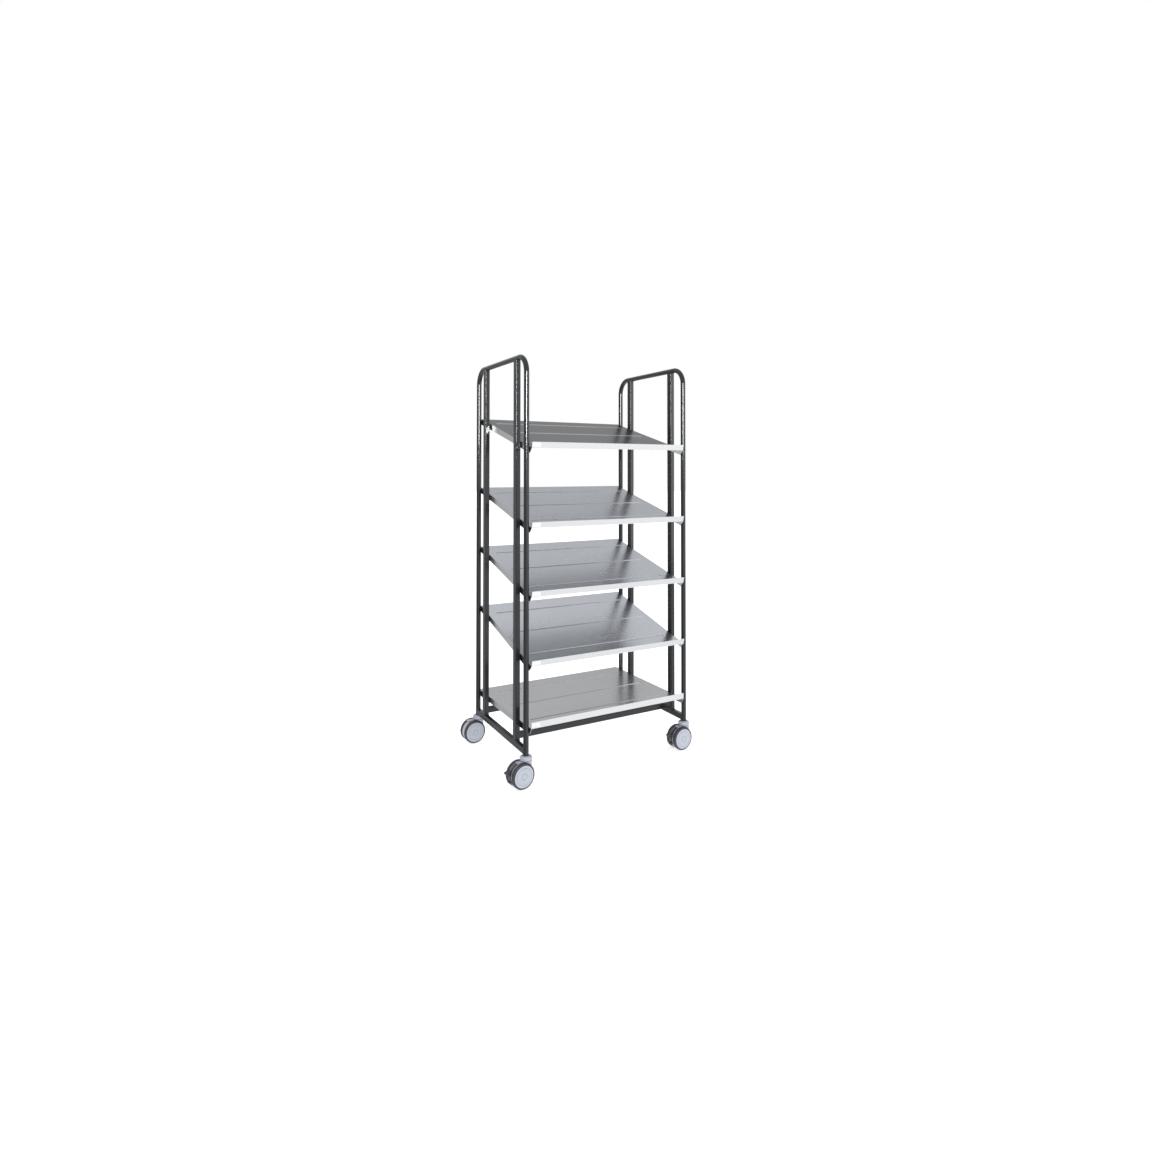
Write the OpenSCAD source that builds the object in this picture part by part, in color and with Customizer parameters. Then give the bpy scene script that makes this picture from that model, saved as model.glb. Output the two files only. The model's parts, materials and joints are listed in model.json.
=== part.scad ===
// Tall shelf cart on four swivel casters: two bent tube hoops joined at the bottom,
// four perforated uprights, and five sheet-metal shelves hung on bolt-on arms.
// +X runs along the shelves, -Y is the side that is loaded from, +Z is up.
// The origin is on the floor, in the middle of the whole cart's outline.

/* [Frame] */
// Length between the two end hoops, tube centre to tube centre
frame_length = 782; // [700:1:1000]
// Depth between the front and rear legs, tube centre to tube centre
frame_depth = 540; // [520:1:600]
// Height of the centre line of the hoops' top bars
bar_height = 1720; // [1700:1:1900]
// Outer diameter of the hoop tube
tube_d = 22; // [22:0.5:25]
// Wall thickness of every tube
tube_wall = 1.5; // [1.2:0.1:2]
// Bend radius of the hoops at the tube's centre line
bend_r = 70; // [60:1:90]
// Distance from a leg to its upright, centre to centre
upright_gap = 96; // [90:1:110]
// Depth of an upright, seen from the end of the cart
upright_depth = 30; // [28:1:34]
// Height of the two base rails
base_rail_height = 25; // [20:1:30]

/* [Slots] */
// Distance from one hook slot to the next
slot_pitch = 23; // [22:0.5:23.5]
// Height of a hook slot
slot_height = 14; // [13:0.5:16]
// Width of a hook slot
slot_width = 4; // [3.6:0.1:5]
// Height of the lowest slot
first_slot = 187; // [186:1:192]
// Number of slots in each upright
slot_count = 65; // [60:1:65]

/* [Shelves] */
// Depth of a shelf, measured along its slope
shelf_depth = 584; // [560:1:600]
// How far a shelf reaches in front of the front uprights, along its slope
shelf_overhang = 115; // [110:1:118]
// Thickness of the sheet
sheet = 1.2; // [1:0.1:1.6]
// Height of the front lip, which stands up, and of the flanges, which are folded down
lip_height = 25; // [22:1:26]
// Number of slots between the front and rear hooks of the four tilted shelves
tilt_slots = 4; // [2:1:4]
// Radius of the pressed stiffening beads
bead_r = 7; // [5:0.5:8]

/* [Shelf arms] */
// Height of a shelf arm
arm_height = 24; // [22:1:25]
// Thickness of a shelf arm's plate
arm_plate = 2.5; // [2:0.1:2.6]
// Diameter of the pivot and rest pins
pin_d = 8; // [6:0.5:9]

/* [Casters] */
// Diameter of a caster wheel
wheel_d = 100; // [96:1:100]
// Width of one wheel of the twin pair
wheel_width = 20; // [18:0.5:21]
// Distance that the axle trails behind the swivel axis
trail = 27; // [26:0.5:28]
// Height of the leg ends above the floor
leg_end = 118; // [118:1:120]
// Diameter of the caster's collar
collar_d = 49; // [46:0.5:50]
// How far the front left caster has swung
front_left_turn = 8.5; // [-10:0.5:10]
// How far the other casters have swung
other_turn = 3.5; // [-10:0.5:10]

/* [Hidden] */
$fn = 64;

ANTHRACITE = "#43474b";
GALVANISED = "#b4b9be";
ZINC = "#c9ccd0";
CASTER_GREY = "#b6b7c6";
CAP_GREY = "#c3cad6";
TYRE_GREY = "#3b3c45";
PEDAL_GREY = "#403f49";
LABEL_WHITE = "#f4f5f6";

FIT = 0.05;                    // radial clearance of everything that turns
BITE = 1;                      // how far a cutter reaches past what it cuts
RIGHT = 1;
LEFT = -1;
FRONT = -1;
REAR = 1;

// frame
leg_x = frame_length / 2;
leg_y = frame_depth / 2;
tube_r = tube_d / 2;
upright_y = leg_y - upright_gap;
upright_span = 2 * upright_y;
member_width = 20;             // width of the uprights and base rails along X
upright_face = leg_x - member_width / 2;
base_rail_z = leg_end + 3.5;
base_rail_top = base_rail_z + base_rail_height;
cross_rail_z = base_rail_top + 8;
cross_rail_size = [20, 25];
corner_r = 2.5;                // outer corners of the rectangular tubes

// shelves: the local origin is on the front hook line, +Y up the slope, +Z out of the deck
shelf_slots = [51, 37, 25, 13, 1];
shelf_hooks = [for (k = shelf_slots) first_slot + k * slot_pitch];
SHELVES = len(shelf_slots);
shelf_rises = [for (i = [1:SHELVES]) i < SHELVES ? tilt_slots * slot_pitch : 0];
deck_above_hooks = 16;
flange_bottom = deck_above_hooks - lip_height;
shelf_half = upright_face - 5;
lip_return = 10;
flange_slant = 14;             // how far the side flanges' lower front corner is cut back
bead_places = [96, 292, 488];  // from the front edge
bead_end_gap = 38;
pin_offset = 50;               // from a hook to the pin beside it, along the slope
pin_z = 3.5;
arm_outer = shelf_half + 0.5;  // the face of the arm that looks at the shelf
arm_reach = 110;
arm_slant = 10;
arm_tail = 16;
hook_height = 12;
label_size = [38, 0.4, 18];

// casters: the local origin is on the floor below the swivel axis, trailing along -X
wheel_r = wheel_d / 2;
wheel_gap = 12;                // from the middle of the caster to a wheel's inner side
housing_half = 10.5;
housing_top = leg_end - 18;
housing_neck_r = collar_d / 2 - 0.5;
disc_r = wheel_r - 3;
nose_r = wheel_r + 4;
tyre_inner_r = wheel_r - 7;
bearing_height = 2;
axle_r = 4;
axle_half = wheel_gap + 18;
stem_r = 5.5;
stem_bottom = housing_top - 28;
stem_top = leg_end + 38;
pedal_half = 7.7;
pocket_half = 8;
hub_r = 9;

CASTERS = [
    ["front_left", LEFT, FRONT, front_left_turn],
    ["front_right", RIGHT, FRONT, other_turn],
    ["rear_left", LEFT, REAR, other_turn],
    ["rear_right", RIGHT, REAR, other_turn]];

// the outline of the cart on the floor, which the origin is in the middle of
pedal_reach = trail + wheel_r + 24;
outline_left = -leg_x - pedal_reach * cos(front_left_turn);
outline_right = leg_x + (wheel_r - trail) * cos(other_turn) + 2;
outline_front = -leg_y - (wheel_gap + wheel_width + 1) * cos(front_left_turn)
    - (trail + wheel_r) * sin(front_left_turn);
outline_rear = leg_y + wheel_gap + wheel_width + 1 + (wheel_r - trail) * sin(other_turn);
cart_shift = [-(outline_left + outline_right) / 2, -(outline_front + outline_rear) / 2, 0];

// ---- helpers ----

module on_both_ends() {
    for (side = [LEFT, RIGHT]) scale_x(side) children();
}

module scale_x(side) {
    mirror([side < 0 ? 1 : 0, 0, 0]) children();
}

module at_legs() {
    for (x = [-leg_x, leg_x], y = [-leg_y, leg_y]) translate([x, y, 0]) children();
}

module at_caster(i) {
    translate([CASTERS[i][1] * leg_x, CASTERS[i][2] * leg_y, 0]) rotate([0, 0, CASTERS[i][3]]) children();
}

// stands an outline drawn in X and Z up, and thickens it evenly along Y
module upright_plate(thickness) {
    rotate([90, 0, 0]) linear_extrude(thickness, center = true) children();
}

// stands an outline drawn in Y and Z up, and thickens it along +X from x
module side_plate(x, thickness) {
    translate([x, 0, 0]) rotate([90, 0, 90]) linear_extrude(thickness) children();
}

module wedge(from, to, r) {
    polygon([[0, 0], for (k = [0:8]) r * dir(from + (to - from) * k / 8)]);
}

// a rectangular tube's section, drawn round the origin
module tube_section(width, height) {
    difference() {
        rounded(width, height, corner_r);
        rounded(width - 2 * tube_wall, height - 2 * tube_wall, corner_r - tube_wall);
    }
}

module rounded(width, height, r) {
    square([width - 2 * r, height], center = true);
    square([width, height - 2 * r], center = true);
    for (x = [-1, 1], y = [-1, 1]) translate([x * (width / 2 - r), y * (height / 2 - r)]) circle(r);
}

module ring(outer, inner) {
    difference() {
        circle(outer);
        circle(inner);
    }
}

function dir(angle) = [cos(angle), sin(angle)];

// ---- frame ----

// one hoop's tube, as a solid bar of radius r whose ends reach extra below the legs
module hoop_bar(r, extra) {
    straight = bar_height - bend_r - leg_end + extra;
    for (y = [-leg_y, leg_y]) translate([0, y, leg_end - extra]) cylinder(straight, r = r);
    for (end = [FRONT, REAR]) mirror([0, end < 0 ? 1 : 0, 0])
        translate([0, leg_y - bend_r, bar_height - bend_r]) rotate([90, 0, 90])
        rotate_extrude(angle = 90) translate([bend_r, 0]) circle(r);
    translate([0, leg_y - bend_r, bar_height]) rotate([90, 0, 0]) cylinder(2 * (leg_y - bend_r), r = r);
}

module hoop(side) {
    color(ANTHRACITE) translate([side * leg_x, 0, 0]) difference() {
        hoop_bar(tube_r, 0);
        hoop_bar(tube_r - tube_wall, BITE);
    }
}

// a perforated upright, its slots facing the shelves and its top end saddled to the bar
module upright(side, end) {
    color(ANTHRACITE) scale_x(side) translate([leg_x, end * upright_y, 0]) difference() {
        translate([0, 0, base_rail_top]) linear_extrude(bar_height - base_rail_top)
            tube_section(member_width, upright_depth);
        translate([0, upright_depth, bar_height]) rotate([90, 0, 0])
            cylinder(2 * upright_depth, r = tube_r);
        for (k = [0:slot_count - 1])
            translate([-member_width / 2 - BITE, -slot_width / 2, first_slot + k * slot_pitch - slot_height / 2])
                cube([tube_wall + 2 * BITE, slot_width, slot_height]);
    }
}

// the rectangular tube that ties two legs together, its ends saddled to the legs
module base_rail(side) {
    color(ANTHRACITE) translate([side * leg_x, 0, base_rail_z]) difference() {
        translate([0, leg_y, base_rail_height / 2]) rotate([90, 0, 0]) linear_extrude(frame_depth)
            tube_section(member_width, base_rail_height);
        for (y = [-leg_y, leg_y]) translate([0, y, -BITE])
            cylinder(base_rail_height + 2 * BITE, r = tube_r);
    }
}

module cross_rail(end) {
    color(ANTHRACITE) translate([-upright_face, end * upright_y, cross_rail_z + cross_rail_size[1] / 2])
        rotate([90, 0, 90]) linear_extrude(2 * upright_face) tube_section(cross_rail_size[0], cross_rail_size[1]);
}

// ---- shelves ----

function slope(i) = atan(shelf_rises[i] / upright_span);
function hook_distance(i) = upright_span / cos(slope(i));

module at_shelf(i) {
    translate([0, -upright_y, shelf_hooks[i]]) rotate([slope(i), 0, 0]) children();
}

// moves to a shelf's front or rear hook line, with +Y pointing away from the middle of the shelf
module at_hooks(i, end) {
    if (end == FRONT) mirror([0, 1, 0]) children();
    else translate([0, hook_distance(i), 0]) children();
}

// the hole that the front pin turns in
module pivot_hole() {
    translate([pin_offset, pin_z]) circle(pin_d / 2 + FIT);
}

// the notch that lets the rear of a shelf lift off its pin
module rest_notch() {
    r = pin_d / 2 + FIT;
    flare = 2;
    translate([pin_offset, pin_z]) {
        circle(r);
        polygon([[-r, 0], [r, 0], [r + flare, -lip_height], [-r - flare, -lip_height]]);
    }
}

module shelf(i) {
    front = -shelf_overhang;
    rear = shelf_depth - shelf_overhang;
    deck_bottom = deck_above_hooks - sheet;
    color(GALVANISED) at_shelf(i) difference() {
        union() {
            translate([-shelf_half, front, deck_bottom]) cube([2 * shelf_half, shelf_depth, sheet]);
            translate([-shelf_half, front, deck_bottom]) cube([2 * shelf_half, sheet, lip_height]);
            translate([-shelf_half, rear - sheet, flange_bottom]) cube([2 * shelf_half, sheet, lip_height]);
            translate([-shelf_half, rear - lip_return, flange_bottom]) cube([2 * shelf_half, lip_return, sheet]);
            on_both_ends() side_plate(shelf_half - sheet, sheet) difference() {
                polygon([[front, deck_bottom], [front + flange_slant, flange_bottom], [rear, flange_bottom],
                    [rear, deck_above_hooks], [front, deck_above_hooks]]);
                mirror([1, 0]) pivot_hole();
                translate([hook_distance(i), 0]) rest_notch();
            }
            for (y = bead_places) bead(front + y, bead_r + sheet, 0);
        }
        for (y = bead_places) bead(front + y, bead_r, BITE);
    }
}

// a bead across the shelf: the round bar that presses it, cut off at the deck
module bead(y, r, reach) {
    depth = 2.5;
    half = shelf_half - bead_end_gap;
    intersection() {
        translate([-half, y, deck_above_hooks - depth + bead_r]) rotate([0, 90, 0]) cylinder(2 * half, r = r);
        translate([-half, y - 2 * r, deck_above_hooks - 2 * r])
            cube([2 * half, 4 * r, 2 * r - sheet / 2 + reach * (sheet + BITE)]);
    }
}

module shelf_label(i) {
    color(LABEL_WHITE) at_shelf(i)
        translate([-shelf_half + 1, -shelf_overhang - label_size[1], deck_above_hooks + 3]) cube(label_size);
}

// one arm at a hook line, drawn for the right-hand end of the cart
module arm() {
    bottom = flange_bottom;
    top = bottom + arm_height;
    difference() {
        side_plate(arm_outer, arm_plate) polygon([[-arm_tail, bottom + 4], [-arm_tail + 4, bottom],
            [arm_reach - arm_slant, bottom], [arm_reach, top - 4], [arm_reach - 4, top], [-arm_tail, top]]);
        translate([arm_outer - BITE, pin_offset, pin_z]) rotate([0, 90, 0])
            cylinder(arm_plate + 2 * BITE, r = pin_d / 2);
    }
}

// the tongue that drops into an upright's slot and sits on its lower edge
module hook_tongue(z) {
    reach = upright_face + tube_wall + 2 - arm_outer - arm_plate;
    width = slot_width - 0.6;
    translate([arm_outer + arm_plate, -width / 2, z - slot_height / 2]) cube([reach, width, hook_height]);
}

module shelf_arms(i) {
    color(ANTHRACITE) on_both_ends() {
        for (end = [FRONT, REAR]) at_shelf(i) at_hooks(i, end) arm();
        translate([0, -upright_y, 0]) hook_tongue(shelf_hooks[i]);
        translate([0, upright_y, 0]) hook_tongue(shelf_hooks[i] + shelf_rises[i]);
    }
}

// a headed pin through an arm, with a collar on the shelf's side of the flange
module headed_pin() {
    head_h = 2.4;
    collar_r = pin_d / 2 + 2;
    collar_x = shelf_half - sheet - 3.5;
    rotate([90, 0, 90]) {
        translate([0, 0, collar_x]) cylinder(arm_outer + arm_plate - collar_x, r = pin_d / 2);
        translate([0, 0, collar_x]) cylinder(3, r = collar_r);
        translate([0, 0, arm_outer + arm_plate]) cylinder(head_h, r1 = 6.5, r2 = 5);
    }
}

module pins(end) {
    color(ZINC) on_both_ends() for (i = [0:SHELVES - 1])
        at_shelf(i) at_hooks(i, end) translate([0, pin_offset, pin_z]) headed_pin();
}

// ---- casters ----

module along_axle(y) {
    translate([-trail, y, wheel_r]) rotate([-90, 0, 0]) children();
}

module caster_sleeves() {
    color(PEDAL_GREY) at_legs() translate([0, 0, leg_end]) difference() {
        cylinder(40, r = tube_r - tube_wall);
        translate([0, 0, -BITE]) cylinder(40 + 2 * BITE, r = stem_r);
    }
}

module caster_stems() {
    color(ZINC) at_legs() translate([0, 0, stem_bottom]) cylinder(stem_top - stem_bottom, r = stem_r);
}

module caster_bearings() {
    color(ZINC) at_legs() translate([0, 0, housing_top + 0.1]) difference() {
        cylinder(bearing_height - 0.1, r = 17);
        translate([0, 0, -BITE]) cylinder(bearing_height + 2 * BITE, r = stem_r);
    }
}

// the collar that hides the swivel bearing, with a dished top round the foot of the leg
module caster_collars() {
    r = collar_d / 2;
    base = housing_top + bearing_height;
    color(CASTER_GREY) at_legs() rotate_extrude() polygon([
        [stem_r, base], [r - 1, base], [r, base + 1], [r, leg_end - 7], [r - 1, leg_end - 3.5],
        [r - 3.5, leg_end - 1], [r - 7, leg_end], [tube_r + 4, leg_end], [tube_r + 2.5, leg_end - 1.5],
        [tube_r + 0.5, leg_end - 1.5], [tube_r + 0.5, leg_end], [stem_r, leg_end]]);
}

// the housing between the wheels; a braked one is hollowed for its pedal
module caster_housing(i, braked) {
    axle = [-trail, wheel_r];
    color(CASTER_GREY) at_caster(i) difference() {
        union() {
            upright_plate(2 * housing_half) union() {
                translate(axle) circle(disc_r);
                intersection() {
                    translate(axle) intersection() {
                        circle(nose_r);
                        wedge(55, braked ? 108 : 120, 2 * nose_r);
                    }
                    translate([-wheel_d, 0]) square([2 * wheel_d, housing_top]);
                }
            }
            difference() {
                translate([0, 0, housing_top - 24]) cylinder(24, r = housing_neck_r);
                for (y = [-wheel_d - housing_half, housing_half])
                    along_axle(y) cylinder(wheel_d, r = wheel_r + 1.5);
            }
        }
        translate([0, 0, stem_bottom - 1]) cylinder(housing_top, r = stem_r + FIT);
        along_axle(-wheel_d) cylinder(2 * wheel_d, r = axle_r);
        if (braked) upright_plate(2 * pocket_half) translate(axle) union() {
            circle(hub_r + 0.6);
            intersection() {
                circle(2 * nose_r);
                wedge(108, 222, 3 * nose_r);
            }
        }
    }
}

module caster_axle(i) {
    color(ZINC) at_caster(i) along_axle(-axle_half) cylinder(2 * axle_half, r = axle_r);
}

// a wheel's side of the caster: side a looks to the front of the cart and side b to the rear
module at_wheel(i, side) {
    at_caster(i) translate([-trail, 0, wheel_r]) mirror([0, side == "b" ? 1 : 0, 0])
        translate([0, -wheel_gap, 0]) rotate([90, 0, 0]) children();
}

// a wheel's moulded core: hub, rim and the closed, slightly domed cap on its outer side
module wheel_core(i, side) {
    w = wheel_width;
    r = tyre_inner_r;
    bore = axle_r + FIT;
    bore_depth = w - 1.8;
    color(CAP_GREY) at_wheel(i, side) rotate_extrude() polygon([
        [bore, 0], [11, 0], [11, w - 3], [r - 4, w - 3], [r - 4, 1], [r, 1], [r, w - 1.5], [r - 1, w - 0.6],
        [r - 3, w - 0.3], [r - 9, w], [r - 9.6, w - 0.6], [r - 10.4, w - 0.6], [r - 11, w + 0.1],
        [r - 20, w + 0.6], [r - 32, w + 0.9], [0, w + 1], [0, bore_depth], [bore, bore_depth]]);
}

// a wheel's soft tyre, with rounded shoulders
module wheel_tyre(i, side) {
    w = wheel_width;
    shoulder = 5;
    steps = 6;
    color(TYRE_GREY) at_wheel(i, side) rotate_extrude() polygon([
        [tyre_inner_r, 0.5],
        for (k = [0:steps]) [wheel_r - shoulder, 0.5 + shoulder] + shoulder * dir(-90 + 90 * k / steps),
        for (k = [0:steps]) [wheel_r - shoulder, w - 0.8 - shoulder] + shoulder * dir(90 * k / steps),
        [tyre_inner_r, w - 0.8]]);
}

// the rocker between a braked caster's wheels, turning on the axle
module brake_pedal(i) {
    shoe_r = disc_r + 1;
    color(PEDAL_GREY) at_caster(i) upright_plate(2 * pedal_half) translate([-trail, wheel_r]) difference() {
        union() {
            circle(hub_r);
            intersection() {
                circle(shoe_r);
                wedge(150, 178, 2 * wheel_r);
            }
            intersection() {
                ring(shoe_r, 26);
                wedge(110, 208, 2 * wheel_r);
            }
            polygon([45 * dir(148), 57 * dir(153), 70 * dir(158), 73.5 * dir(160.5), 73.5 * dir(163.5),
                71 * dir(166), 58 * dir(169), 45 * dir(176)]);
            polygon([44 * dir(194), 55 * dir(197), 57 * dir(200), 55 * dir(203), 44 * dir(207)]);
        }
        circle(axle_r + FIT);
    }
}

// ---- the cart ----

module placed() {
    translate(cart_shift) children();
}

placed() hoop(LEFT);  // left_hoop
placed() hoop(RIGHT);  // right_hoop
placed() upright(LEFT, FRONT);  // left_front_upright
placed() upright(LEFT, REAR);  // left_rear_upright
placed() upright(RIGHT, FRONT);  // right_front_upright
placed() upright(RIGHT, REAR);  // right_rear_upright
placed() base_rail(LEFT);  // left_base_rail
placed() base_rail(RIGHT);  // right_base_rail
placed() cross_rail(FRONT);  // front_cross_rail
placed() cross_rail(REAR);  // rear_cross_rail
placed() caster_sleeves();
placed() caster_stems();
placed() caster_bearings();
placed() caster_collars();
placed() pins(FRONT);  // pivot_pins
placed() pins(REAR);  // rest_pins
for (i = [0:SHELVES - 1]) {
    placed() shelf(i);
    placed() shelf_arms(i);
    placed() shelf_label(i);
}
for (i = [0:3]) {
    placed() caster_housing(i, CASTERS[i][2] == FRONT);
    placed() caster_axle(i);
    for (side = ["a", "b"]) {
        placed() wheel_core(i, side);
        placed() wheel_tyre(i, side);
    }
}
placed() brake_pedal(0);  // front_left_brake_pedal
placed() brake_pedal(1);  // front_right_brake_pedal
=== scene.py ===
"""Looks for the book cart: materials, small details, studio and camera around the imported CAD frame."""

import json
import math
import random

import bmesh
import bpy
from mathutils import Matrix, Vector


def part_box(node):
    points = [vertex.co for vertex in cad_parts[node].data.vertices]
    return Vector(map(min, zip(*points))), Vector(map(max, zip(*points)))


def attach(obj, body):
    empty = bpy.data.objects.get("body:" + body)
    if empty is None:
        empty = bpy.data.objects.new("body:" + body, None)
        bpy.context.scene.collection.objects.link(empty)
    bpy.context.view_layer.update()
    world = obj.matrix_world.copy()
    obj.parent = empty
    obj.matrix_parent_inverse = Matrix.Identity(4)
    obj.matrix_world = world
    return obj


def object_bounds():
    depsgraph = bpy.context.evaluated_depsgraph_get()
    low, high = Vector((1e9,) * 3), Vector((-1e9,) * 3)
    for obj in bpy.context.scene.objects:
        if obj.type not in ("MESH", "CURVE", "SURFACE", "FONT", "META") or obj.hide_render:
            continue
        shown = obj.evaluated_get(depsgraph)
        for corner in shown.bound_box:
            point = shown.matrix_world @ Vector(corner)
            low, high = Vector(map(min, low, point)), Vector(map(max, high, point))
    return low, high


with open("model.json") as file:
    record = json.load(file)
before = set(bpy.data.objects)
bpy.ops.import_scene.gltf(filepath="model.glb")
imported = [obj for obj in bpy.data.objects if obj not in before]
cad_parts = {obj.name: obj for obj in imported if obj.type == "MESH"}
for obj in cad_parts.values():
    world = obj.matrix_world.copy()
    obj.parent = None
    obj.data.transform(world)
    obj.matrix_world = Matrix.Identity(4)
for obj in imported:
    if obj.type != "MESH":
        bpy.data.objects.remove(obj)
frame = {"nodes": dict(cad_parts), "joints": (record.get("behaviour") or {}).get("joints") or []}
cad_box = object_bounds()
nodes = frame["nodes"]

MM = 0.001
SIDES = ("left", "right")
ENDS = ("front", "rear")
CASTERS = [f"{end}_{side}" for end in ENDS for side in SIDES]


# ---- node helpers ----

# a Mix node has a set of sockets for each data type; these are the ones for colours
MIX_FACTOR = 0
MIX_LOW = 6
MIX_HIGH = 7
MIX_RESULT = 2


def new_material(name):
    """A material with a Principled shader: (material, its node tree, the shader)."""
    material = bpy.data.materials.new(name)
    material.use_nodes = True
    tree = material.node_tree
    return material, tree, tree.nodes["Principled BSDF"]


def add(tree, kind, **settings):
    """A new node of that kind, with its properties or unlinked inputs set by name."""
    node = tree.nodes.new(kind)
    for key, value in settings.items():
        if hasattr(node, key):
            setattr(node, key, value)
        else:
            node.inputs[key.replace("_", " ")].default_value = value
    return node


def math_node(tree, value, operation, *operands):
    """The result of a math operation on a socket and any further numbers."""
    node = add(tree, "ShaderNodeMath", operation=operation)
    tree.links.new(value, node.inputs[0])
    for index, operand in enumerate(operands, start=1):
        node.inputs[index].default_value = operand
    return node.outputs[0]


def place(tree, stretch=(1.0, 1.0, 1.0)):
    """Coordinates fixed to the piece; along an axis with a small stretch factor a pattern grows long."""
    coordinates = add(tree, "ShaderNodeTexCoord")
    mapping = add(tree, "ShaderNodeMapping")
    mapping.inputs["Scale"].default_value = stretch
    tree.links.new(coordinates.outputs["Object"], mapping.inputs["Vector"])
    return mapping.outputs["Vector"]


def noise(tree, scale, stretch=(1.0, 1.0, 1.0), detail=3.0, roughness=0.55):
    """Smooth noise from 0 to 1."""
    node = add(tree, "ShaderNodeTexNoise", Scale=scale, Detail=detail, Roughness=roughness)
    tree.links.new(place(tree, stretch), node.inputs["Vector"])
    return node.outputs["Fac"]


def ramp(tree, fac, stops):
    """A colour ramp through stops of (position, grey value or colour)."""
    node = add(tree, "ShaderNodeValToRGB")
    elements = node.color_ramp.elements
    while len(elements) < len(stops):
        elements.new(0.5)
    for element, (position, value) in zip(elements, stops):
        colour = (value, value, value) if isinstance(value, float) else value
        element.position = position
        element.color = (*colour, 1.0)
    tree.links.new(fac, node.inputs["Fac"])
    return node.outputs["Color"]


def mix(tree, fac, low, high):
    """Mixes two colours, each a socket or a tuple, by fac, a socket or a number."""
    node = add(tree, "ShaderNodeMix", data_type="RGBA")
    for index, value in ((MIX_FACTOR, fac), (MIX_LOW, low), (MIX_HIGH, high)):
        if isinstance(value, bpy.types.NodeSocket):
            tree.links.new(value, node.inputs[index])
        elif isinstance(value, tuple):
            node.inputs[index].default_value = (*value, 1.0)
        else:
            node.inputs[index].default_value = value
    return node.outputs[MIX_RESULT]


def spread(tree, fac, low, high):
    """Maps a value from 0..1 to low..high."""
    node = add(tree, "ShaderNodeMapRange", To_Min=low, To_Max=high)
    tree.links.new(fac, node.inputs["Value"])
    return node.outputs["Result"]


def bump(tree, shader, height, strength, distance):
    """Roughens the shader's surface by a height pattern."""
    node = add(tree, "ShaderNodeBump", Strength=strength, Distance=distance)
    tree.links.new(height, node.inputs["Height"])
    tree.links.new(node.outputs["Normal"], shader.inputs["Normal"])


def shade(colour, factor):
    return tuple(channel * factor for channel in colour)


# ---- materials ----

PAINT_TINTS = ((0.0125, 0.0145, 0.0165), (0.0155, 0.018, 0.0205))
SCUFF_TINT = (0.030, 0.034, 0.038)
ZINC_TINTS = ((0.60, 0.62, 0.65), (0.78, 0.79, 0.80))
LABEL_TINTS = ((0.70, 0.71, 0.715), (0.76, 0.77, 0.77))

# the sheet metal: the top deck is much darker than the others, which is painted shade, and shelf 5's tint
# differs a little; the fold faces are brighter than decks, and the side flanges brighter still as a
# painted highlight
DECK_TINT = (0.615, 0.635, 0.67)
DECK_TINTS_WITH_PAINTED_SHADE = {"1": (0.345, 0.347, 0.35), "5": (0.61, 0.615, 0.625)}
LIP_TINT = (0.62, 0.63, 0.645)
# painted highlight: the much brighter tint of the sideways-facing side flanges
FLANGE_PAINTED_HIGHLIGHT_TINT = (0.93, 0.94, 0.95)
SPANGLE_TINT = (0.72, 0.735, 0.76)
# how strongly a deck still mirrors at a flat angle, from 0 to 1
GRAZING = 0.5
GRAZINGS = {"1": 0.4}


def powder_coat():
    """Anthracite gloss powder coat: fine orange peel, faint cloudiness and a few dust-thin scuffs."""
    material, tree, shader = new_material("anthracite_powder_coat")
    cloud = noise(tree, scale=7.0)
    patches = noise(tree, scale=55.0, stretch=(1.0, 1.0, 0.2), detail=5.0, roughness=0.65)
    scuff = ramp(tree, patches, [(0.64, 0.0), (0.78, 1.0)])
    worn = mix(tree, spread(tree, scuff, 0.0, 0.25), mix(tree, cloud, *PAINT_TINTS), SCUFF_TINT)
    tree.links.new(worn, shader.inputs["Base Color"])
    sheen = spread(tree, noise(tree, scale=30.0, detail=4.0), 0.13, 0.145)
    tree.links.new(sheen, shader.inputs["Roughness"])
    shader.inputs["IOR"].default_value = 1.5
    shader.inputs["Specular IOR Level"].default_value = 0.42
    bump(tree, shader, noise(tree, scale=520.0, detail=2.0), strength=0.006, distance=0.0002)
    return material


def facing(tree, axis):
    """1 where the piece's own surface looks along +X or -X, or up for Z, and 0 elsewhere; the shelves use
    it to place a painted highlight on their side flanges.
    """
    normal = add(tree, "ShaderNodeSeparateXYZ")
    tree.links.new(add(tree, "ShaderNodeTexCoord").outputs["Normal"], normal.inputs[0])
    size = normal.outputs[axis]
    if axis == "X":
        size = math_node(tree, size, "ABSOLUTE")
    return ramp(tree, size, [(0.55, 0.0), (0.9, 1.0)])


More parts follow.
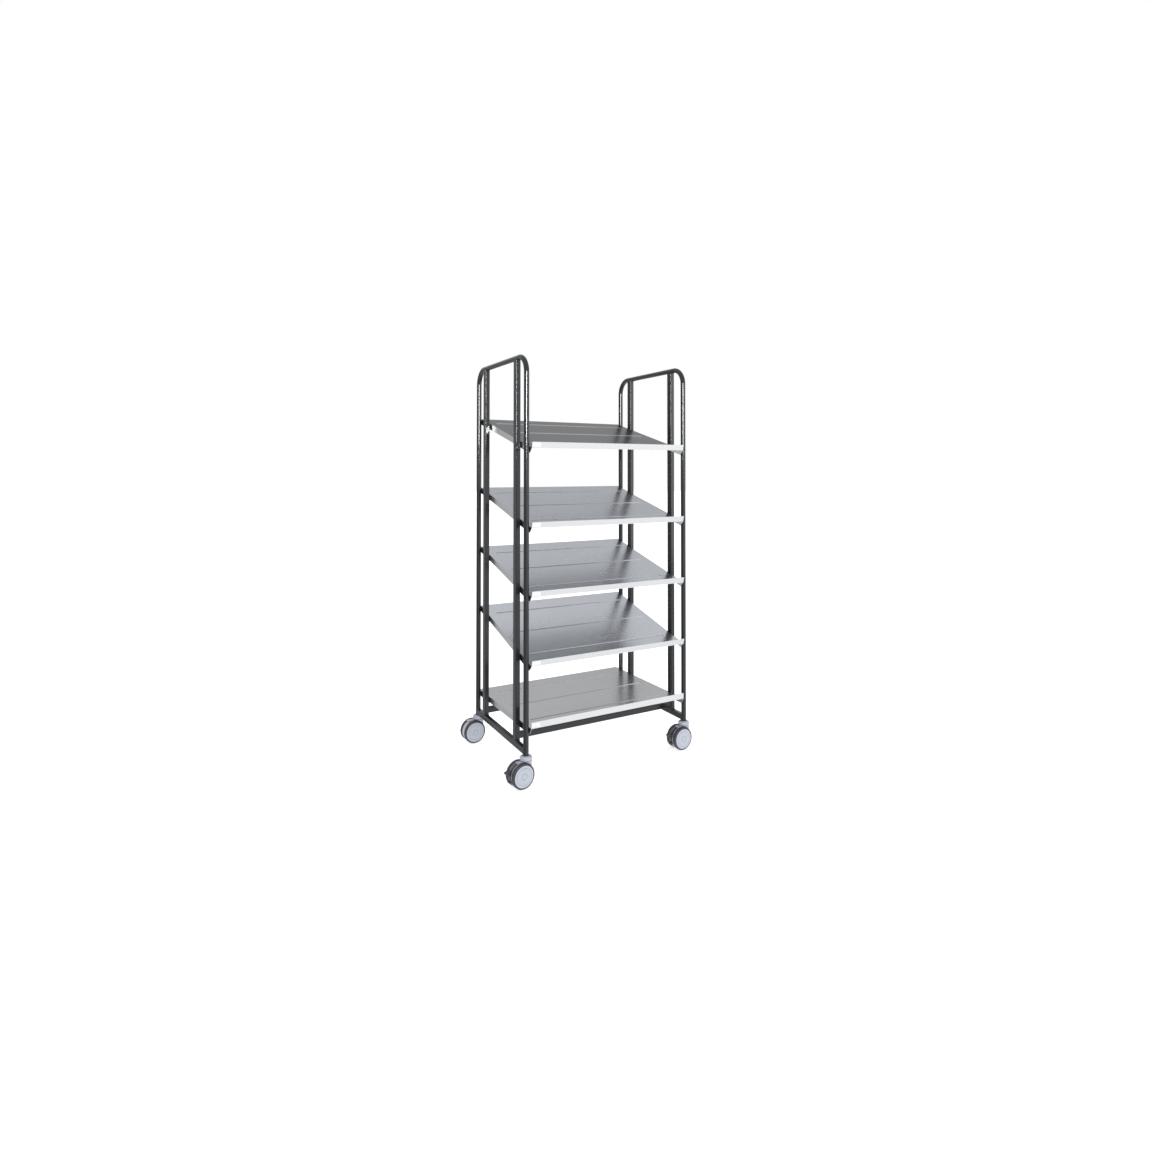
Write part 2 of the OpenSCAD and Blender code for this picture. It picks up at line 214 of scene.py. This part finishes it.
def galvanised(number):
    """A shelf's galvanised sheet: a dull, softly clouded deck with rolling streaks, and brighter fold
    faces; the side flanges' brightness is a painted highlight and the top deck's darkness is painted
    shade.
    """
    material, tree, shader = new_material(f"galvanised_shelf_{number}")
    # the top deck's darker tint here is painted shade
    deck = DECK_TINTS_WITH_PAINTED_SHADE.get(number, DECK_TINT)
    grazing = GRAZINGS.get(number, GRAZING)
    spangle = add(tree, "ShaderNodeTexVoronoi", Scale=140.0, Randomness=1.0)
    tree.links.new(place(tree), spangle.inputs["Vector"])
    grain = add(tree, "ShaderNodeSeparateColor")
    tree.links.new(spangle.outputs["Color"], grain.inputs["Color"])
    streaks = noise(tree, scale=14.0, stretch=(0.08, 1.0, 1.0), detail=4.0, roughness=0.5)
    clouds = noise(tree, scale=3.5, detail=4.0)
    # painted highlight: fold faces that look sideways, the side flanges, take the much brighter flange
    # tint
    fold_tints_with_painted_highlight = mix(tree, facing(tree, "X"), LIP_TINT, FLANGE_PAINTED_HIGHLIGHT_TINT)
    clouded = mix(tree, clouds, shade(deck, 0.94), shade(deck, 1.06))
    base = mix(tree, facing(tree, "Z"), fold_tints_with_painted_highlight, clouded)
    base = mix(tree, spread(tree, grain.outputs["Red"], 0.0, 0.05), base, SPANGLE_TINT)
    base = mix(tree, spread(tree, streaks, 0.0, 0.12), base, shade(deck, 0.8))
    tree.links.new(base, shader.inputs["Base Color"])
    shader.inputs["Metallic"].default_value = 1.0
    shader.inputs["Specular Tint"].default_value = (grazing, grazing, grazing, 1.0)
    rough = spread(tree, mix(tree, 0.1, streaks, grain.outputs["Green"]), 0.255, 0.285)
    tree.links.new(rough, shader.inputs["Roughness"])
    bump(tree, shader, noise(tree, scale=90.0, detail=2.0), strength=0.003, distance=0.0002)
    return material


def bright_zinc():
    """Bright zinc plating on pins, stems, bearings and axles."""
    material, tree, shader = new_material("bright_zinc")
    clouds = noise(tree, scale=160.0, detail=4.0)
    tree.links.new(mix(tree, clouds, *ZINC_TINTS), shader.inputs["Base Color"])
    shader.inputs["Metallic"].default_value = 1.0
    tree.links.new(spread(tree, clouds, 0.16, 0.34), shader.inputs["Roughness"])
    bump(tree, shader, noise(tree, scale=900.0), strength=0.06, distance=0.0001)
    return material


def moulded(name, low, high, roughness, grain_scale=900.0, grain=0.12):
    """Moulded plastic or rubber: slow colour drift, patchy sheen and a fine surface grain."""
    material, tree, shader = new_material(name)
    tree.links.new(mix(tree, noise(tree, scale=28.0, detail=4.0), low, high), shader.inputs["Base Color"])
    sheen = spread(tree, noise(tree, scale=80.0, detail=5.0), *roughness)
    tree.links.new(sheen, shader.inputs["Roughness"])
    shader.inputs["IOR"].default_value = 1.48
    bump(tree, shader, noise(tree, grain_scale, detail=2.0), strength=grain, distance=0.0002)
    return material


def label_film():
    """Glossy white film of the blank label fields, slightly yellowed in patches."""
    material, tree, shader = new_material("label_film")
    aged = noise(tree, scale=60.0, detail=4.0)
    tree.links.new(mix(tree, aged, *LABEL_TINTS), shader.inputs["Base Color"])
    tree.links.new(spread(tree, aged, 0.25, 0.4), shader.inputs["Roughness"])
    bump(tree, shader, noise(tree, scale=300.0), strength=0.05, distance=0.0001)
    return material


PAINT = powder_coat()
SHEETS = {f"shelf_{number}": galvanised(number) for number in "12345"}
ZINC = bright_zinc()
HOUSING = moulded("caster_housing_plastic", (0.41, 0.42, 0.49), (0.48, 0.49, 0.565), (0.35, 0.5))
CAP = moulded("wheel_cap_plastic", (0.415, 0.45, 0.51), (0.47, 0.505, 0.57), (0.3, 0.42))
TYRE = moulded("tyre_rubber", (0.028, 0.027, 0.036), (0.044, 0.043, 0.056), (0.5, 0.75),
               grain_scale=500.0, grain=0.25)
PEDAL = moulded("pedal_plastic", (0.036, 0.034, 0.046), (0.05, 0.048, 0.062), (0.38, 0.55))
LABEL = label_film()
# painted shade: a darker copy of the cap plastic for the groove and hollow rings, in place of the shade in
# these recesses
CAP_PAINTED_SHADE = moulded("wheel_cap_recess_painted_shade", (0.23, 0.25, 0.29), (0.27, 0.29, 0.33), (0.4, 0.5))

# the first row with a word that the node's name holds gives its finish
FINISHES = [
    (("hoop", "upright", "rail", "arms"), PAINT),
    (("_label",), LABEL),
    (("pins", "stems", "bearings", "axle"), ZINC),
    (("collars", "housing"), HOUSING),
    (("_core",), CAP),
    (("_tyre",), TYRE),
    (("pedal", "sleeves"), PEDAL),
]


def finish_of(name):
    """The material of a CAD node; a shelf's own sheet goes by its full name."""
    if name in SHEETS:
        return SHEETS[name]
    return next(material for words, material in FINISHES if any(word in name for word in words))


# ---- the CAD nodes: material, merged points, small rounded edges ----

MERGE_DISTANCE = 0.01
SHARP_ANGLE = 35
BRAKED_HOUSINGS = ("front_left_housing", "front_right_housing")
# how wide edges are rounded, in mm, by words in the node's name; the first match counts
EDGE_WIDTHS = [(BRAKED_HOUSINGS, 0.18), (("housing", "pedal", "collars"), 0.6), (("core", "tyre"), 0.25),
               (("shelf_",), 0.35)]
USUAL_EDGE_WIDTH = 0.4


def edge_width(name):
    """How wide a CAD node's edges are rounded, in mm."""
    widths = (width for words, width in EDGE_WIDTHS if any(word in name for word in words))
    return next(widths, USUAL_EDGE_WIDTH)


def dress(name):
    """Gives a CAD node its material and rounds its sharp edges with modifiers only."""
    node = nodes[name]
    node.data.materials.clear()
    node.data.materials.append(finish_of(name))
    weld = node.modifiers.new("weld", "WELD")
    weld.merge_threshold = MERGE_DISTANCE * MM
    rounding = node.modifiers.new("edges", "BEVEL")
    rounding.width = edge_width(name) * MM
    rounding.segments = 2
    rounding.limit_method = "ANGLE"
    rounding.angle_limit = math.radians(SHARP_ANGLE)
    # the pedal gap's fine edges would clamp the whole rounding of a braked housing to nothing
    rounding.use_clamp_overlap = name not in BRAKED_HOUSINGS
    shading = node.modifiers.new("shading", "WEIGHTED_NORMAL")
    shading.keep_sharp = True


for node_name in nodes:
    dress(node_name)


# ---- sizes of the added details ----

# wheel cap, in mm: radii from the axle, heights outwards from the caster's middle
CAP_GROOVE = {"inner": 32.7, "outer": 33.3, "bottom": 31.0, "top": 31.9}
CAP_HOLLOW = {"inner": 10.6, "outer": 12.4, "bottom": 32.4, "top": 32.98}
CAP_RIB = {"radius": 21.5, "width": 2.2, "base": 32.6, "height": 0.55}
CAP_BOSS = [(0.0, 32.5), (9.4, 32.4), (10.2, 32.9), (9.2, 33.3), (7.0, 33.45), (0.0, 33.5)]

# collar ribs, in mm, and how far below the collar's top each one lies
COLLAR_RIB = {"width": 1.6, "base": 0.0, "height": 1.4}
COLLAR_RIB_DROPS = (6.0, 13.5)
COLLAR_RIB_SINK = 0.1

# how deep a rib's foot goes into the piece below it, in mm
RIB_FOOT = 0.4

# weld beads, in mm; the ripples repeat after so many points of the loop
TUBE_CORNER = 2.5
BEAD_SPACING = 1.1
BEAD_RADIUS = 1.3
BEAD_SIDES = 8
RIPPLE = 0.16
RIPPLE_POINTS = 3
UNEVENNESS = 0.05

hoop_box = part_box("left_hoop")
tube_r = (hoop_box[1].x - hoop_box[0].x) / 2
bar_z = hoop_box[1].z - tube_r
leg_x = {side: sum(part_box(f"{side}_hoop")[k].x for k in (0, 1)) / 2 for side in SIDES}
leg_y = {"front": hoop_box[0].y + tube_r, "rear": hoop_box[1].y - tube_r}
collar_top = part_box("caster_collars")[1].z
collar_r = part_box("caster_collars")[1].x - leg_x["right"]


# ---- added details ----

def joint_called(name):
    return next(joint for joint in frame["joints"] if joint["name"] == name)


def finish_piece(bm, name, material, body):
    """Turns a bmesh into a smooth piece that rides a body and takes its finish from a slot."""
    bmesh.ops.remove_doubles(bm, verts=bm.verts, dist=0.001 * MM)
    bmesh.ops.recalc_face_normals(bm, faces=bm.faces)
    mesh = bpy.data.meshes.new(name)
    bm.to_mesh(mesh)
    bm.free()
    for face in mesh.polygons:
        face.use_smooth = True
    mesh.materials.append(material)
    piece = bpy.data.objects.new(name, mesh)
    bpy.context.scene.collection.objects.link(piece)
    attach(piece, body)


def lathe(outline, centre, axis, segments=72):
    """A bmesh of a closed outline of (radius, height) points in mm, turned round an axis.
    Where two neighbouring points lie on the axis, the edge between them isn't turned."""
    bm = bmesh.new()
    verts = [bm.verts.new((radius * MM, 0.0, height * MM)) for radius, height in outline]
    pairs = zip(verts, verts[1:] + verts[:1])
    edges = [bm.edges.new(pair) for pair in pairs if any(vert.co.x > 0 for vert in pair)]
    bmesh.ops.spin(bm, geom=verts + edges, cent=(0, 0, 0), axis=(0, 0, 1), dvec=(0, 0, 0),
                   angle=2 * math.pi, steps=segments, use_merge=True)
    turn = Vector(axis).to_track_quat("Z", "Y").to_matrix().to_4x4()
    bm.transform(Matrix.Translation(centre) @ turn)
    return bm


def flat_ring(inner, outer, bottom, top):
    """The outline of a ring with a rectangular section."""
    return [(inner, bottom), (outer, bottom), (outer, top), (inner, top)]


def rounded_rib(radius, width, base, height, steps=8):
    """The outline of a low rib: an arch on a foot that reaches below base."""
    arch = [math.pi * k / steps for k in range(steps + 1)]
    rounded = [(radius + width / 2 * math.cos(a), base + height * math.sin(a)) for a in arch]
    foot = base - RIB_FOOT
    return rounded + [(radius - width / 2, foot), (radius + width / 2, foot)]


def wheel_trim(caster, side):
    """The moulded rings on a wheel's cap: a groove and the boss's hollow, dark rings of painted shade, a
    rib and a shallow centre boss.
    """
    wheel = f"{caster}_wheel_{side}"
    joint = joint_called(f"{wheel}_spin")
    centre = Vector(joint["pos_m"])
    outward = Vector(joint["axis"]) * (-1 if side == "a" else 1)
    # the groove and hollow rings take the darker cap plastic as painted shade
    trims = [("groove", flat_ring(**CAP_GROOVE), CAP_PAINTED_SHADE),
             ("rib", rounded_rib(**CAP_RIB), CAP),
             ("boss", CAP_BOSS, CAP),
             ("hollow", flat_ring(**CAP_HOLLOW), CAP_PAINTED_SHADE)]
    for trim, outline, material in trims:
        finish_piece(lathe(outline, centre, outward), f"{wheel}_cap_{trim}", material, wheel)


def collar_trim(caster):
    """Two moulded ribs round a caster's collar."""
    x, y, _ = joint_called(f"{caster}_swivel")["pos_m"]
    outline = rounded_rib(collar_r / MM - COLLAR_RIB_SINK, **COLLAR_RIB)
    for number, drop in enumerate(COLLAR_RIB_DROPS, start=1):
        rib = lathe(outline, Vector((x, y, collar_top - drop * MM)), (0, 0, 1))
        finish_piece(rib, f"{caster}_collar_rib_{number}", HOUSING, "frame")


def rounded_loop(half_a, half_b):
    """Evenly spaced points round a rectangular tube's outline, half_a by half_b from its middle."""
    r = TUBE_CORNER * MM
    corners = []
    for sign_a, sign_b, start in ((1, 1, 0), (-1, 1, 90), (-1, -1, 180), (1, -1, 270)):
        for step in range(5):
            angle = math.radians(start + 90 / 4 * step)
            corners.append(Vector((sign_a * (half_a - r) + r * math.cos(angle),
                                   sign_b * (half_b - r) + r * math.sin(angle))))
    points = []
    for a, b in zip(corners, corners[1:] + corners[:1]):
        count = max(1, round((b - a).length / (BEAD_SPACING * MM)))
        points += [a.lerp(b, k / count) for k in range(count)]
    return points


def weld_bead(name, loop):
    """A rippled fillet of weld along a closed loop."""
    bm = bmesh.new()
    centre = sum(loop, Vector()) / len(loop)
    turns = [2 * math.pi * j / BEAD_SIDES for j in range(BEAD_SIDES)]
    rings = []
    for k, point in enumerate(loop):
        along = (loop[(k + 1) % len(loop)] - loop[k - 1]).normalized()
        out = point - centre
        out = (out - along * out.dot(along)).normalized()
        up = along.cross(out)
        wave = RIPPLE * math.cos(2 * math.pi * k / RIPPLE_POINTS)
        r = BEAD_RADIUS * MM * (1 + wave + random.uniform(-UNEVENNESS, UNEVENNESS))
        rings.append([bm.verts.new(point + r * (math.cos(t) * out + math.sin(t) * up)) for t in turns])
    for ring, following in zip(rings, rings[1:] + rings[:1]):
        for j in range(BEAD_SIDES):
            after = (j + 1) % BEAD_SIDES
            bm.faces.new((ring[j], ring[after], following[after], following[j]))
    finish_piece(bm, name, PAINT, "frame")


def saddle(offset):
    """How far a round tube's surface lies from its centre plane at that offset from its axis."""
    return math.sqrt(max(tube_r ** 2 - offset ** 2, 0.0))


def middle_and_half(node):
    """A node's middle and half its size along each axis."""
    low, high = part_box(node)
    return (low + high) / 2, (high - low) / 2


def frame_welds(side, end):
    """Four welds at an upright: to the top bar, to the base rail, base rail to leg, and cross rail."""
    post, post_half = middle_and_half(f"{side}_{end}_upright")
    rail, rail_half = middle_and_half(f"{side}_base_rail")
    cross, cross_half = middle_and_half(f"{end}_cross_rail")
    x = leg_x[side]
    inward = 1 if end == "front" else -1
    rail_top = rail.z + rail_half.z
    cross_end = cross.x + (-1 if side == "left" else 1) * cross_half.x
    round_post = rounded_loop(post_half.x, post_half.y)
    round_rail = rounded_loop(rail_half.x, rail_half.z)
    round_cross = rounded_loop(cross_half.y, cross_half.z)
    welds = {
        "bar": [Vector((x + a, post.y + b, bar_z - saddle(a))) for a, b in round_post],
        "foot": [Vector((x + a, post.y + b, rail_top)) for a, b in round_post],
        "leg": [Vector((x + a, leg_y[end] + inward * saddle(a), rail.z + b)) for a, b in round_rail],
        "cross": [Vector((cross_end, cross.y + a, cross.z + b)) for a, b in round_cross],
    }
    for joint, loop in welds.items():
        weld_bead(f"{side}_{end}_{joint}_weld", loop)


random.seed(7)
for end_name in ENDS:
    for side_name in SIDES:
        frame_welds(side_name, end_name)
for caster_name in CASTERS:
    collar_trim(caster_name)
    for wheel_side in "ab":
        wheel_trim(caster_name, wheel_side)


# ---- studio ----

WHITE = (1.0, 1.0, 1.0)
FLOOR_TINT = (0.88, 0.88, 0.88)
FLOOR_GLOW = 0.6
FLOOR_RADIUS = 40
SKY = (0.93, 0.935, 0.95)
GROUND = (1.3, 1.3, 1.3)
BRIGHT_SIDE = (0.66, -0.75, 0.0)
# how bright the room is at eye level, from the rear left (0) to the front right (1)
ROOM = [(0.0, 0.5), (0.3, 0.5), (0.45, 0.6), (0.62, 1.2), (1.0, 1.35)]
# where the ceiling and the ground fade in, by how far a direction points up or down
CEILING_FADE = [(0.12, 0.0), (0.24, 1.0)]
GROUND_FADE = [(0.40, 0.0), (0.55, 1.0)]

CAMERA_PLACE = (-1.5083, -2.8345, 1.2531)
CAMERA_RISE = 1.054
CAMERA_TURN = -29.816


def studio_floor():
    """A white paper floor that glows a little, so that it stays white under the cart."""
    bpy.ops.mesh.primitive_circle_add(vertices=96, radius=FLOOR_RADIUS, fill_type="NGON",
                                      location=(0, 0, 0))
    floor = bpy.context.object
    floor.name = "studio_floor"
    material, _, shader = new_material("pale_floor")
    shader.inputs["Base Color"].default_value = (*FLOOR_TINT, 1.0)
    shader.inputs["Roughness"].default_value = 0.95
    shader.inputs["Specular IOR Level"].default_value = 0.0
    shader.inputs["Emission Color"].default_value = (*WHITE, 1.0)
    shader.inputs["Emission Strength"].default_value = FLOOR_GLOW
    floor.data.materials.append(material)
    floor.visible_glossy = False


def softbox(name, place_at, size, power, lights_up=True):
    """A rectangular area light that points at the cart; some only show as reflections."""
    light = bpy.data.lights.new(name, "AREA")
    light.shape = "RECTANGLE"
    light.size, light.size_y = size
    light.energy = power
    lamp = bpy.data.objects.new(name, light)
    middle = (cad_box[0] + cad_box[1]) / 2
    lamp.location = place_at
    lamp.rotation_euler = (middle - Vector(place_at)).to_track_quat("-Z", "Y").to_euler()
    lamp.visible_camera = False
    lamp.visible_diffuse = lights_up
    bpy.context.scene.collection.objects.link(lamp)


def studio_world():
    """White behind the cart; the room it mirrors has a pale ceiling and fades to dark at the rear left."""
    world = bpy.data.worlds.new("studio_world")
    world.use_nodes = True
    tree = world.node_tree
    background = tree.nodes["Background"]
    background.inputs["Strength"].default_value = 1.0
    direction = add(tree, "ShaderNodeTexCoord").outputs["Generated"]
    side = add(tree, "ShaderNodeVectorMath", operation="DOT_PRODUCT")
    side.inputs[1].default_value = BRIGHT_SIDE
    tree.links.new(direction, side.inputs[0])
    # from -1..1 to 0..1
    from_left = spread(tree, side.outputs["Value"], 0.0, 1.0)
    from_left.node.inputs["From Min"].default_value = -1.0
    height = add(tree, "ShaderNodeSeparateXYZ")
    tree.links.new(direction, height.inputs[0])
    depth = math_node(tree, height.outputs["Z"], "MULTIPLY", -1.0)
    ceiling = ramp(tree, height.outputs["Z"], CEILING_FADE)
    ground = ramp(tree, depth, GROUND_FADE)
    room = mix(tree, ceiling, ramp(tree, from_left, ROOM), SKY)
    room = mix(tree, ground, room, GROUND)
    path = add(tree, "ShaderNodeLightPath")
    seen = mix(tree, path.outputs["Is Camera Ray"], room, WHITE)
    tree.links.new(seen, background.inputs["Color"])
    bpy.context.scene.world = world


def camera():
    """A viewpoint at chest height in front of the cart, to its left; the shifts set the framing."""
    data = bpy.data.cameras.new("camera")
    data.sensor_width = 36.0
    data.lens = 21.805
    data.shift_x = -0.01654
    data.shift_y = -0.1026
    eye = bpy.data.objects.new("camera", data)
    eye.location = CAMERA_PLACE
    eye.rotation_euler = (math.radians(90 + CAMERA_RISE), 0.0, math.radians(CAMERA_TURN))
    bpy.context.scene.collection.objects.link(eye)
    bpy.context.scene.camera = eye


studio_floor()
studio_world()
camera()
softbox("camera_side_box", (-1.75, -3.3, 1.9), size=(0.9, 0.8), power=190.0, lights_up=False)
softbox("front_right_box", (2.6, -3.6, 1.6), size=(2.4, 2.6), power=30.0)

bpy.context.scene.view_settings.view_transform = "Standard"
